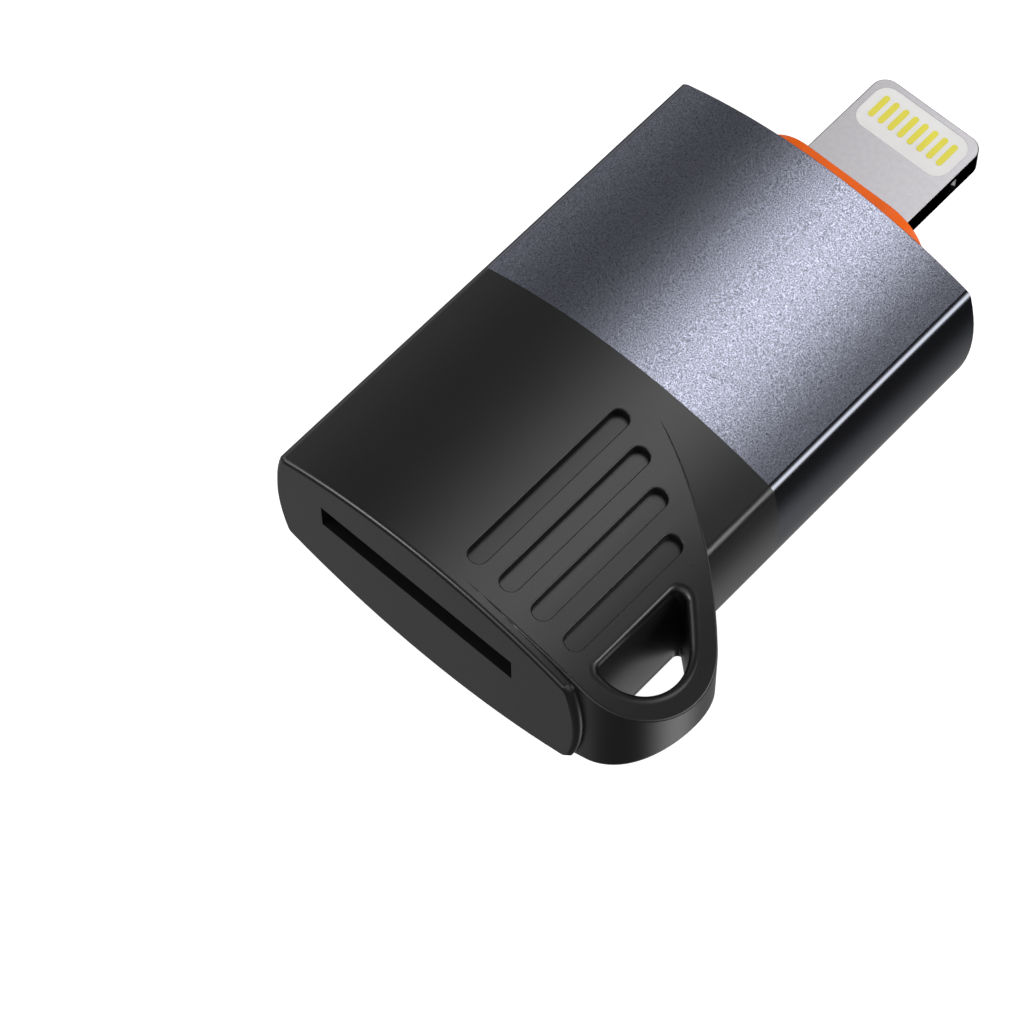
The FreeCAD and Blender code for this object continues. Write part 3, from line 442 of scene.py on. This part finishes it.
@dataclass(frozen=True)
class BevelShading:
    """Shading that lets a narrow bevel catch the light as a round edge would.

    Each face of a solid is an island of its mesh. A narrow island takes the normals of the broader
    faces beside it, so light runs smoothly from one to the other.
    """

    narrow: float = 0.8 * MM
    crease: float = math.radians(60.0)
    same_place: float = 0.001 * MM

    def apply(self, mesh: bpy.types.Mesh) -> None:
        """Set the normals of a solid's mesh.

        Args:
            mesh: the mesh to shade.
        """
        normals = [Vector()] * len(mesh.vertices)
        for loop, corner in zip(mesh.loops, mesh.corner_normals):
            normals[loop.vertex_index] = corner.vector.copy()
        island = self.islands(mesh)
        width = self.widths(mesh, island)
        places = defaultdict(list)
        for vertex in mesh.vertices:
            places[tuple(round(axis / self.same_place) for axis in vertex.co)].append(vertex.index)
        softened = list(normals)
        for corners in places.values():
            for own in corners:
                if width[island[own]] > self.narrow:
                    continue
                beside = [
                    other for other in corners
                    if width[island[other]] > width[island[own]]
                    and normals[other].angle(normals[own]) < self.crease
                ]
                if beside:
                    softened[own] = normals[max(beside, key=lambda other: width[island[other]])]
        mesh.shade_smooth()
        mesh.normals_split_custom_set_from_vertices(softened)

    def islands(self, mesh: bpy.types.Mesh) -> list[int]:
        """Find which island each vertex belongs to.

        Args:
            mesh: the mesh to sort.

        Returns:
            An island's number for each vertex.
        """
        parent = list(range(len(mesh.vertices)))
        for edge in mesh.edges:
            first, last = edge.vertices
            parent[self.head(parent, first)] = self.head(parent, last)
        return [self.head(parent, vertex) for vertex in range(len(parent))]

    def head(self, parent: list[int], vertex: int) -> int:
        """Follow a vertex to the head of its island, and shorten the way for the next time.

        Args:
            parent: the vertex that each vertex points to.
            vertex: where to start.

        Returns:
            The vertex that points to itself.
        """
        while parent[vertex] != vertex:
            parent[vertex] = parent[parent[vertex]]
            vertex = parent[vertex]
        return vertex

    def widths(self, mesh: bpy.types.Mesh, island: list[int]) -> dict[int, float]:
        """Measure each island's mean width, from its area and the length of its rim.

        Args:
            mesh: the mesh to measure.
            island: the island of each vertex.

        Returns:
            A width in metres for each island.
        """
        area = defaultdict(float)
        uses = Counter()
        for polygon in mesh.polygons:
            area[island[polygon.vertices[0]]] += polygon.area
            uses.update(polygon.edge_keys)
        rim = defaultdict(float)
        for (first, last), count in uses.items():
            if count == 1:
                rim[island[first]] += (mesh.vertices[first].co - mesh.vertices[last].co).length
        return {
            number: 2 * size / rim[number] if rim[number] else math.inf
            for number, size in area.items()
        }


@dataclass(frozen=True)
class Piece:
    """A solid that keeps its own form and is dressed in a finish."""

    node: str
    finish: Finish
    shading: BevelShading = BevelShading()

    def dress(self, palette: Palette) -> bpy.types.Object:
        """Give the solid its finish and even shading.

        Args:
            palette: where the material comes from.

        Returns:
            The dressed object.
        """
        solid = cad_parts[self.node]
        solid.data.materials.clear()
        solid.data.materials.append(palette.material(self.finish))
        self.shading.apply(solid.data)
        return solid


@dataclass(frozen=True)
class HolePoint:
    """A point of the lanyard hole's outline, seen from above."""

    place: Vector
    inward: Vector
    breadth: float
    web: float = 0.0


@dataclass(frozen=True)
class SkinPoint:
    """A point of the lanyard hole's skin and the way that it faces."""

    place: Vector
    normal: Vector


@dataclass(frozen=True)
class HoleRim:
    """Moulded skin of the lanyard hole: round rims and a round far tip over the housing's own walls.

    The outline has a straight side against the body, a far tip, a long arc under the shoulder, a round
    near end and a near corner. The skin stands a little proud of the walls that it covers.
    """

    side_x: float = 9.35 * MM
    near_y: float = -12.9 * MM
    end_centre: tuple[float, float] = (9.95 * MM, -10.45 * MM)
    end_radius: float = 2.45 * MM
    shoulder_radius: float = 25.7 * MM
    shoulder_angle: float = math.radians(43.0)
    corner_radius: float = 0.3 * MM
    upper_tip: float = 0.45 * MM
    under_tip: float = 0.25 * MM
    pad_top: float = 10.485 * MM
    pad_radius: float = 33.0 * MM
    belly_x: float = 5.6 * MM
    belly_low: float = 0.55 * MM
    belly_radius: float = 9.597 * MM
    proud: float = 0.05 * MM
    film: float = 0.004 * MM
    side_rim: float = 0.18 * MM
    upper_rim: float = 0.6 * MM
    under_rim: float = 0.38 * MM
    margin: float = 0.12 * MM
    tip_web: float = 0.7 * MM
    sink: float = 0.03 * MM
    sink_run: float = 5.0
    tip_steps: int = 16
    shoulder_steps: int = 14
    end_steps: int = 40
    corner_steps: int = 10
    rim_steps: int = 10

    def build(self, palette: Palette) -> bpy.types.Object:
        """Make the skin and dress it.

        Args:
            palette: where the material comes from.

        Returns:
            The dressed skin.
        """
        rows = self.upper_rows() + self.under_rows()
        points = [point for row in rows for point in row]
        count = len(rows[0])
        faces = []
        for row in range(len(rows)):
            here = row * count
            below = (row + 1) % len(rows) * count
            for step in range(count):
                beside = (step + 1) % count
                faces.append((here + step, below + step, below + beside, here + beside))
        mesh = bpy.data.meshes.new("lanyard_hole_rim")
        mesh.from_pydata([point.place for point in points], [], faces)
        mesh.materials.append(palette.material(BLACK_PLASTIC))
        mesh.shade_smooth()
        mesh.normals_split_custom_set_from_vertices([point.normal for point in points])
        skin = add_object("lanyard_hole_rim", mesh)
        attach(skin, "root")
        return skin

    def outline(self, tip: float) -> list[HolePoint]:
        """Walk round the hole: far tip, bar, near end, and back along the straight side.

        Args:
            tip: radius of the far tip.

        Returns:
            Points of the outline, as many for any tip.
        """
        side = self.side_x + self.proud
        near = self.near_y + self.proud
        end = Vector(self.end_centre)
        end_reach = self.end_radius - self.proud
        lean = Vector((math.cos(self.shoulder_angle), math.sin(self.shoulder_angle)))
        shoulder = end + lean * (self.end_radius - self.shoulder_radius)
        shoulder_reach = self.shoulder_radius - self.proud
        reach = shoulder_reach - tip
        run = side + tip - shoulder.x
        tip_centre = Vector((side + tip, shoulder.y + math.sqrt(reach * reach - run * run)))
        tip_angle = math.atan2(tip_centre.y - shoulder.y, run)
        corner = Vector((side + self.corner_radius, near + self.corner_radius))
        far_arc = self.arc(tip_centre, tip, math.pi, tip_angle, self.tip_steps)
        long_arc = self.arc(shoulder, shoulder_reach, tip_angle, self.shoulder_angle, self.shoulder_steps)
        near_arc = self.arc(end, end_reach, self.shoulder_angle, -QUARTER_TURN, self.end_steps)
        corner_arc = self.arc(corner, self.corner_radius, -QUARTER_TURN, -math.pi, self.corner_steps)
        points = []
        for share, place, inward in far_arc:
            points.append(HolePoint(place, inward, share, math.sin(math.pi * share)))
        for _, place, inward in long_arc[1:] + near_arc[1:]:
            points.append(HolePoint(place, inward, 1.0))
        for share, place, inward in corner_arc:
            points.append(HolePoint(place, inward, 1.0 - share))
        return points

    def arc(self, centre: Vector, radius: float, start: float, stop: float,
            steps: int) -> list[tuple[float, Vector, Vector]]:
        """Walk along an arc.

        Args:
            centre: the arc's centre.
            radius: its radius.
            start: angle of its first point.
            stop: angle of its last point.
            steps: how many steps it takes.

        Returns:
            The share of the arc that is done, the place and the way to the centre, at each point.
        """
        made = []
        for step in range(steps + 1):
            share = step / steps
            angle = start + (stop - start) * share
            out = Vector((math.cos(angle), math.sin(angle)))
            made.append((share, centre + out * radius, -out))
        return made

    def rim(self, point: HolePoint, broad: float) -> float:
        """Radius of the rim at a point, between the straight side's and the ring's."""
        return self.side_rim + (broad - self.side_rim) * point.breadth

    def skirt(self, point: HolePoint, radius: float, sunk: float) -> float:
        """How far back from the wall a row outside the rim lies, further where it is sunk."""
        return radius + self.margin + self.tip_web * point.web + self.sink_run * sunk

    def turns(self) -> list[float]:
        """How far a rim has turned at each of its rows."""
        return [step * QUARTER_TURN / self.rim_steps for step in range(self.rim_steps + 1)]

    def upper_rows(self) -> list[list[SkinPoint]]:
        """Rows from inside the ring's top, over the upper rim, to the wall."""
        rows = [self.upper_row(0.0, self.sink), self.upper_row(0.0, 0.0)]
        return rows + [self.upper_row(turn, None) for turn in self.turns()]

    def upper_row(self, turn: float, sunk: float | None) -> list[SkinPoint]:
        """One row at the upper rim.

        Args:
            turn: how far the rim has turned from up to inward.
            sunk: how far a row outside the rim lies under the surface, or None on the rim.

        Returns:
            The row's points.
        """
        made = []
        for point in self.outline(self.upper_tip):
            radius = self.rim(point, self.upper_rim)
            back = radius * (1 - math.sin(turn))
            drop = radius * (1 - math.cos(turn)) - self.film
            if sunk is not None:
                back = self.skirt(point, radius, sunk)
                drop = sunk - self.film
            flat = point.place - point.inward * back
            level = math.sqrt(self.pad_radius ** 2 - flat.x ** 2)
            up = Vector((flat.x, 0.0, level)).normalized()
            place = Vector((flat.x, flat.y, self.pad_top - self.pad_radius + level - drop))
            made.append(SkinPoint(place, up * math.cos(turn) + point.inward.to_3d() * math.sin(turn)))
        return made

    def under_rows(self) -> list[list[SkinPoint]]:
        """Rows from the wall, over the under rim, to inside the ring's underside."""
        rows = [self.under_row(turn, None) for turn in self.turns()]
        return rows + [self.under_row(QUARTER_TURN, 0.0), self.under_row(QUARTER_TURN, self.sink)]

    def under_row(self, turn: float, sunk: float | None) -> list[SkinPoint]:
        """One row at the under rim.

        Args:
            turn: how far the rim has turned from inward to down.
            sunk: how far a row outside the rim lies inside the surface, or None on the rim.

        Returns:
            The row's points.
        """
        made = []
        for point in self.outline(self.under_tip):
            radius = self.rim(point, self.under_rim)
            back = radius * (1 - math.cos(turn))
            lift = radius * (1 - math.sin(turn)) - self.film
            if sunk is not None:
                back = self.skirt(point, radius, sunk)
                lift = sunk - self.film
            flat = point.place - point.inward * back
            run = flat.x - self.belly_x
            level = math.sqrt(self.belly_radius ** 2 - run ** 2)
            down = Vector((run, 0.0, -level)).normalized()
            place = Vector((flat.x, flat.y, self.belly_low + self.belly_radius - level + lift))
            made.append(SkinPoint(place, point.inward.to_3d() * math.cos(turn) + down * math.sin(turn)))
        return made


@dataclass
class SubAssembly(ABC):
    """Pieces that are put together before the rest."""

    palette: Palette

    @abstractmethod
    def pieces(self) -> list[Piece]:
        """The solids, in the order that they are put together."""

    def build(self) -> list[bpy.types.Object]:
        """Dress every solid."""
        return [piece.dress(self.palette) for piece in self.pieces()]


@dataclass
class Housing(SubAssembly):
    """The black moulding with its lanyard hole, the metal sleeve and the orange collar."""

    moulding: Finish = BLACK_PLASTIC
    sleeve: Finish = SLEEVE_METAL
    collar: Finish = ORANGE_PLASTIC
    hole: HoleRim = HoleRim()

    def pieces(self) -> list[Piece]:
        """The three shells, from the slot end to the plug.

        Returns:
            The solids and their finishes.
        """
        return [
            Piece("rear_housing", self.moulding),
            Piece("metal_sleeve", self.sleeve),
            Piece("front_collar", self.collar),
        ]

    def build(self) -> list[bpy.types.Object]:
        """Dress the shells and add the skin of the lanyard hole."""
        return [*super().build(), self.hole.build(self.palette)]


@dataclass
class Plug(SubAssembly):
    """The steel tongue, its resin and its contacts."""

    shell: Finish = PLUG_STEEL
    insert: Finish = WHITE_RESIN
    contacts: Finish = CONTACT_GOLD

    def pieces(self) -> list[Piece]:
        """The tongue from the outside in.

        Returns:
            The solids and their finishes.
        """
        return [
            Piece("plug_shell", self.shell),
            Piece("plug_insert", self.insert),
            Piece("upper_plug_contacts", self.contacts),
            Piece("lower_plug_contacts", self.contacts),
        ]


@dataclass
class Board(SubAssembly):
    """The circuit board and what stands on it."""

    laminate: Finish = BOARD_RESIN
    chips: Finish = CHIP_PLASTIC
    leads: Finish = TINNED_METAL
    ceramic: Finish = CAPACITOR_BODY

    def pieces(self) -> list[Piece]:
        """The board first, then its parts from the largest down.

        Returns:
            The solids and their finishes.
        """
        return [
            Piece("circuit_board", self.laminate),
            Piece("controller_chip", self.chips),
            Piece("authentication_chip", self.chips),
            Piece("voltage_regulator", self.chips),
            Piece("voltage_regulator_leads", self.leads),
            Piece("crystal", self.leads),
            Piece("capacitors", self.ceramic),
            Piece("resistors", self.chips),
        ]


@dataclass
class CardSocket(SubAssembly):
    """The socket behind the slot: its tray, cover and springs."""

    base: Finish = SOCKET_PLASTIC
    cover: Finish = SOCKET_STEEL
    springs: Finish = CONTACT_GOLD

    def pieces(self) -> list[Piece]:
        """The tray, the cover and the springs between them.

        Returns:
            The solids and their finishes.
        """
        return [
            Piece("card_socket_base", self.base),
            Piece("card_socket_cover", self.cover),
            Piece("card_socket_contacts", self.springs),
            Piece("card_detect_spring", self.springs),
        ]


@dataclass(frozen=True)
class Card:
    """A bright card of the studio, as the part sees it from afar.

    Its half sizes are angles in degrees. It is longest along a direction, and fades to nothing at its rim.
    """

    towards: Direction
    along: Direction
    half_width: float
    half_length: float
    core: float
    strength: float
    facing_end: float = 0.1

    def glow(self, graph: Graph, ray: Socket) -> Socket:
        """How bright the card is along a ray.

        Args:
            graph: the world's tree.
            ray: direction of the ray.

        Returns:
            The brightness.
        """
        middle = Vector(self.towards).normalized()
        across = middle.cross(Vector(self.along)).normalized()
        length = across.cross(middle)
        reach = graph.node("ShaderNodeCombineXYZ")
        for axis, half, name in ((across, self.half_width, "X"), (length, self.half_length, "Y")):
            run = graph.dot(ray, axis / math.sin(math.radians(half)))
            graph.link(run, reach.inputs[name])
        far = graph.node("ShaderNodeVectorMath", operation="LENGTH")
        graph.link(reach.outputs["Vector"], far.inputs[0])
        fade = graph.spread(far.outputs["Value"], self.strength, 0.0, self.core, 1.0, Fade.SOFT)
        facing = graph.spread(graph.dot(ray, middle), 0.0, 1.0, 0.0, self.facing_end)
        return graph.joined(Join.PRODUCT, fade, facing)


# Cards of the studio, each named for what it lights or where it stands
TOP_CARD = Card(
    (-0.115, 0.455, 0.883), ALONG_TOP, half_width=18.2, half_length=33.0, core=0.0, strength=2.6,
)
EDGE_CARD = Card((0.88, 0.34, 0.3), ALONG_Y, half_width=23.0, half_length=40.0, core=0.3, strength=3.3)
RIM_CARD = Card((-0.5, -0.82, 0.27), ALONG_Z, half_width=24.0, half_length=24.0, core=0.1, strength=6.0)
SLOT_CARD = Card((-0.5, -0.28, -0.82), ALONG_Y, half_width=26.0, half_length=26.0, core=0.4, strength=0.25)
LOOP_CARD = Card((0.48, 0.06, -0.87), ALONG_Y, half_width=24.0, half_length=24.0, core=0.0, strength=1.5)
LEFT_CARD = Card((-0.97, 0.2, 0.1), ALONG_Y, half_width=40.0, half_length=60.0, core=0.0, strength=0.6)
LOW_CARD = Card((-0.2, 0.36, -0.91), ALONG_Y, half_width=55.0, half_length=32.0, core=0.5, strength=0.31)
HOLE_CARD = Card((-0.93, -0.22, 0.26), ALONG_Z, half_width=14.0, half_length=14.0, core=0.2, strength=4.0)
FRONT_CARD = Card((0.1, -0.95, 0.3), ALONG_X, half_width=48.0, half_length=80.0, core=0.3, strength=0.7)
BACK_CARD = Card((0.3, 0.95, -0.05), ALONG_X, half_width=26.0, half_length=48.0, core=0.4, strength=0.8)
PLUG_CARD = Card((-0.66, -0.62, 0.42), ALONG_Z, half_width=20.0, half_length=20.0, core=0.3, strength=0.5)


@dataclass
class Studio:
    """Pale floor, soft light and the camera."""

    floor_half: float = 1.5
    floor_colour: Colour = (0.4, 0.4, 0.4)
    floor_glow: float = 0.93
    floor_roughness: float = 0.9
    left_sky: float = 0.03
    left_sky_end: float = -0.6
    right_sky: float = 0.02
    right_sky_end: float = 0.3
    overhead_height: float = 0.8
    overhead_side: float = 1.2
    overhead_power: float = 5.5
    camera_azimuth: float = math.radians(43.4247)
    camera_elevation: float = math.radians(61.213)
    camera_roll: float = math.radians(-1.0224)
    camera_aim: Triple = (-0.411 * MM, -7.915 * MM, 5.25 * MM)
    camera_distance: float = 195.708 * MM
    camera_lens: float = 141.907
    camera_sensor: float = 36.0
    camera_near: float = 0.01
    cards: tuple[Card, ...] = (
        TOP_CARD, EDGE_CARD, RIM_CARD, SLOT_CARD, LOOP_CARD, LEFT_CARD, LOW_CARD, HOLE_CARD,
        FRONT_CARD, BACK_CARD, PLUG_CARD,
    )

    def build(self) -> None:
        """Make the whole studio."""
        self.make_floor()
        self.make_sky()
        self.make_overhead()
        self.make_camera()

    def make_floor(self) -> None:
        """A pale sheet under the part."""
        half = self.floor_half
        corners = [(-half, -half, 0.0), (half, -half, 0.0), (half, half, 0.0), (-half, half, 0.0)]
        mesh = bpy.data.meshes.new("floor")
        mesh.from_pydata(corners, [], [tuple(range(len(corners)))])
        paint = bpy.data.materials.new("pale_floor")
        paint.use_nodes = True
        shader = paint.node_tree.nodes["Principled BSDF"]
        shader.inputs["Base Color"].default_value = (*self.floor_colour, 1.0)
        shader.inputs["Emission Color"].default_value = WHITE
        shader.inputs["Emission Strength"].default_value = self.floor_glow
        shader.inputs["Roughness"].default_value = self.floor_roughness
        shader.inputs["Specular IOR Level"].default_value = 0.0
        mesh.materials.append(paint)
        floor = add_object("floor", mesh)
        floor.visible_glossy = False

    def make_sky(self) -> None:
        """A dim surround with bright cards."""
        world = bpy.data.worlds.new("studio")
        bpy.context.scene.world = world
        world.use_nodes = True
        graph = Graph(world.node_tree)
        ray = graph.node("ShaderNodeTexCoord").outputs["Generated"]
        split = graph.node("ShaderNodeSeparateXYZ")
        graph.link(ray, split.inputs["Vector"])
        total = graph.spread(
            split.outputs["X"], self.left_sky, self.right_sky, self.left_sky_end, self.right_sky_end,
        )
        for card in self.cards:
            total = graph.joined(Join.SUM, total, card.glow(graph, ray))
        background = world.node_tree.nodes["Background"]
        background.inputs["Color"].default_value = WHITE
        graph.link(total, background.inputs["Strength"])

    def make_overhead(self) -> None:
        """A wide soft light above that only lifts matt surfaces."""
        data = bpy.data.lights.new("overhead", "AREA")
        data.size = self.overhead_side
        data.energy = self.overhead_power
        lamp = add_object("overhead", data)
        lamp.location = (0.0, 0.0, self.overhead_height)
        lamp.visible_glossy = False

    def make_camera(self) -> None:
        """The camera at the photograph's place."""
        azimuth = self.camera_azimuth
        roll = self.camera_roll
        flat = math.cos(self.camera_elevation)
        height = math.sin(self.camera_elevation)
        back = Vector((math.sin(azimuth) * flat, -math.cos(azimuth) * flat, height))
        level = Vector((math.cos(azimuth), math.sin(azimuth), 0.0))
        rise = back.cross(level)
        right = level * math.cos(roll) + rise * math.sin(roll)
        up = back.cross(right)
        data = bpy.data.cameras.new("camera")
        data.sensor_width = self.camera_sensor
        data.lens = self.camera_lens
        data.clip_start = self.camera_near
        camera = add_object("camera", data)
        turn = Matrix((right, up, back)).transposed().to_4x4()
        place = Vector(self.camera_aim) + back * self.camera_distance
        camera.matrix_world = Matrix.Translation(place) @ turn
        bpy.context.scene.camera = camera


def main() -> None:
    """Build the reader's sub-assemblies in order, then the studio around them."""
    logging.basicConfig(level=logging.INFO, format="%(name)s: %(message)s")
    palette = Palette()
    for group in (Housing(palette), Plug(palette), Board(palette), CardSocket(palette)):
        for item in group.build():
            log.info("%s: %s is ready", type(group).__name__, item.name)
    Studio().build()
    bpy.context.scene.view_settings.view_transform = "Standard"


if __name__ == "__main__":
    main()
